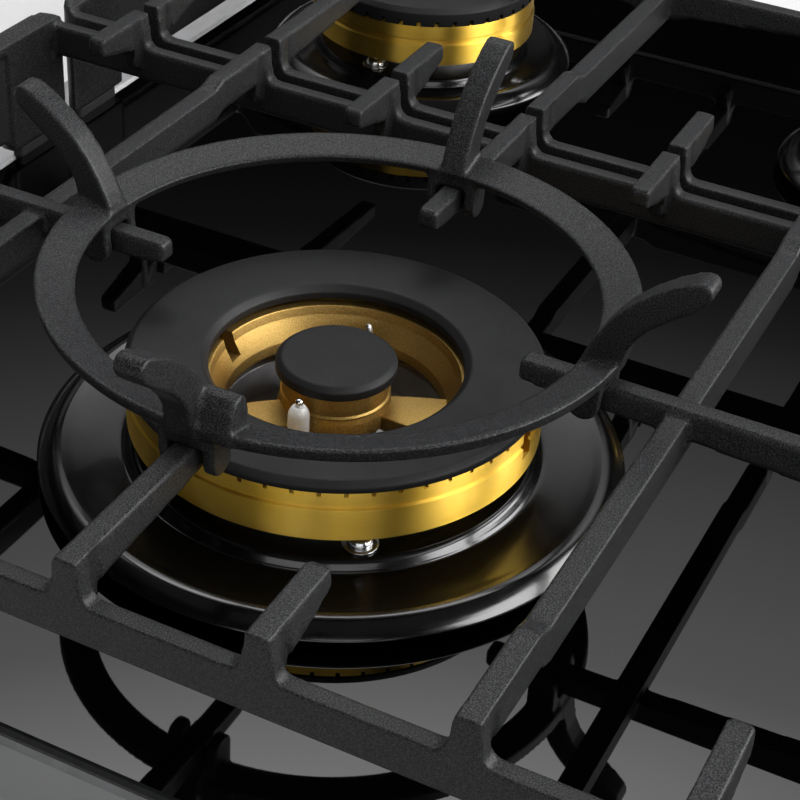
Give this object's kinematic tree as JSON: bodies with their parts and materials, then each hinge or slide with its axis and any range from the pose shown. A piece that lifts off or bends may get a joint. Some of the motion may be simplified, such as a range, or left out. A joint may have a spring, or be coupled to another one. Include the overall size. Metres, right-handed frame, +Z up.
{
  "type": "gas cooktop",
  "caption": "Drop-in gas cooktop with a black glass panel, cast pan grates, a double-ring brass wok burner with a loose wok ring, and turned knobs that push in.",
  "frame": {"origin": "under the middle of the burner box, on its lowest face", "axes": "+X to the cook's right, +Y to the back, +Z up"},
  "size_m": [0.59, 0.568, 0.1554],
  "materials": {
    "black_glass": "tempered, polished, printed black underneath",
    "grate_enamel": "cast iron under matte black enamel",
    "pan_enamel": "glossy black enamel on pressed steel",
    "cap_enamel": "matte black enamel",
    "brass": "turned and blasted brass",
    "cast_aluminium": "as cast or drawn",
    "plated_steel": "zinc plated",
    "bright_steel": "bright",
    "turned_brass_fitting": "turned",
    "trim_steel": "satin stainless",
    "spindle_steel": "ground",
    "white_ceramic": "glazed",
    "foam_seal": "closed-cell foam",
    "black_rubber": "moulded",
    "knob_plastic": "satin black",
    "bezel_metal": "satin",
    "grey_plastic": "moulded",
    "lead_silicone": "silicone covered wire",
    "copper_sheath": "drawn copper capillary"
  },
  "bodies": {
    "cooktop": {"box_flange": "plated_steel", "box_floor": "plated_steel", "burner_box": "plated_steel", "clamp_screws": "plated_steel", "cord_gland": "grey_plastic", "flame_sensors": "bright_steel", "front_bridge": "plated_steel", "front_cup": "cast_aluminium", "front_pan": "pan_enamel", "gas_inlet": "turned_brass_fitting", "gas_jets": "brass", "gas_tubes": "cast_aluminium", "glass_top": "black_glass", "igniter_ceramics": "white_ceramic", "igniter_tips": "bright_steel", "ignition_leads": "lead_silicone", "jet_holders": "cast_aluminium", "knob_bezels": "bezel_metal", "pan_screws": "bright_steel", "pan_seals": "foam_seal", "rear_bridge": "plated_steel", "rear_cup": "cast_aluminium", "rear_pan": "pan_enamel", "rear_trim": "trim_steel", "sensor_leads": "copper_sheath", "spark_switches": "grey_plastic", "spark_unit": "grey_plastic", "spindle_seals": "black_rubber", "supply_pipe": "plated_steel", "terminal_block": "grey_plastic", "tube_nuts": "turned_brass_fitting", "valve_bodies": "cast_aluminium", "valve_bushes": "turned_brass_fitting", "wok_bridge": "plated_steel", "wok_cup": "cast_aluminium", "wok_grommet": "black_rubber", "wok_pan": "pan_enamel", "worktop_clamps": "plated_steel", "worktop_seal": "foam_seal"},
    "grate_left_body": {"grate_left": "grate_enamel", "feet_left": "black_rubber"},
    "grate_right_body": {"grate_right": "grate_enamel", "feet_right": "black_rubber"},
    "wok_ring_body": {"wok_ring": "grate_enamel"},
    "wok_head_body": {"wok_head": "brass"},
    "wok_ring_cap_body": {"wok_ring_cap": "cap_enamel"},
    "wok_center_cap_body": {"wok_center_cap": "cap_enamel"},
    "rear_head_body": {"rear_head": "brass"},
    "rear_cap_body": {"rear_cap": "cap_enamel"},
    "front_head_body": {"front_head": "brass"},
    "front_cap_body": {"front_cap": "cap_enamel"},
    "plug_left_body": {"plug_left": "turned_brass_fitting"},
    "knob_left_body": {"spindle_left": "spindle_steel", "knob_left": "knob_plastic"},
    "plug_middle_body": {"plug_middle": "turned_brass_fitting"},
    "knob_middle_body": {"spindle_middle": "spindle_steel", "knob_middle": "knob_plastic"},
    "plug_right_body": {"plug_right": "turned_brass_fitting"},
    "knob_right_body": {"spindle_right": "spindle_steel", "knob_right": "knob_plastic"}
  },
  "joints": [
    {"name": "grate_left_lift", "type": "slide", "parent": "cooktop", "child": "grate_left_body", "axis": [0, 0, 1], "range_m": [0, 0.06]},
    {"name": "grate_right_lift", "type": "slide", "parent": "cooktop", "child": "grate_right_body", "axis": [0, 0, 1], "range_m": [0, 0.06]},
    {"name": "wok_ring_lift", "type": "slide", "parent": "grate_left_body", "child": "wok_ring_body", "axis": [0, 0, 1], "range_m": [0, 0.04]},
    {"name": "wok_head_lift", "type": "slide", "parent": "cooktop", "child": "wok_head_body", "axis": [0, 0, 1], "range_m": [0, 0.01]},
    {"name": "wok_ring_cap_lift", "type": "slide", "parent": "wok_head_body", "child": "wok_ring_cap_body", "axis": [0, 0, 1], "range_m": [0, 0.004]},
    {"name": "wok_center_cap_lift", "type": "slide", "parent": "wok_head_body", "child": "wok_center_cap_body", "axis": [0, 0, 1], "range_m": [0, 0.012]},
    {"name": "rear_head_lift", "type": "slide", "parent": "cooktop", "child": "rear_head_body", "axis": [0, 0, 1], "range_m": [0, 0.005]},
    {"name": "rear_cap_lift", "type": "slide", "parent": "rear_head_body", "child": "rear_cap_body", "axis": [0, 0, 1], "range_m": [0, 0.004]},
    {"name": "front_head_lift", "type": "slide", "parent": "cooktop", "child": "front_head_body", "axis": [0, 0, 1], "range_m": [0, 0.005]},
    {"name": "front_cap_lift", "type": "slide", "parent": "front_head_body", "child": "front_cap_body", "axis": [0, 0, 1], "range_m": [0, 0.004]},
    {"name": "knob_left_turn", "type": "hinge", "parent": "cooktop", "child": "plug_left_body", "pos_m": [-0.08, -0.203, 0.0225], "axis": [0, 0, 1], "range_deg": [0, 210]},
    {"name": "knob_left_push", "type": "slide", "parent": "plug_left_body", "child": "knob_left_body", "axis": [0, 0, -1], "range_m": [0, 0.0035], "stiffness_N_per_m": 800, "springref_m": -0.004},
    {"name": "knob_middle_turn", "type": "hinge", "parent": "cooktop", "child": "plug_middle_body", "pos_m": [0, -0.203, 0.0225], "axis": [0, 0, 1], "range_deg": [0, 210]},
    {"name": "knob_middle_push", "type": "slide", "parent": "plug_middle_body", "child": "knob_middle_body", "axis": [0, 0, -1], "range_m": [0, 0.0035], "stiffness_N_per_m": 800, "springref_m": -0.004},
    {"name": "knob_right_turn", "type": "hinge", "parent": "cooktop", "child": "plug_right_body", "pos_m": [0.08, -0.203, 0.0225], "axis": [0, 0, 1], "range_deg": [0, 210]},
    {"name": "knob_right_push", "type": "slide", "parent": "plug_right_body", "child": "knob_right_body", "axis": [0, 0, -1], "range_m": [0, 0.0035], "stiffness_N_per_m": 800, "springref_m": -0.004}
  ]
}
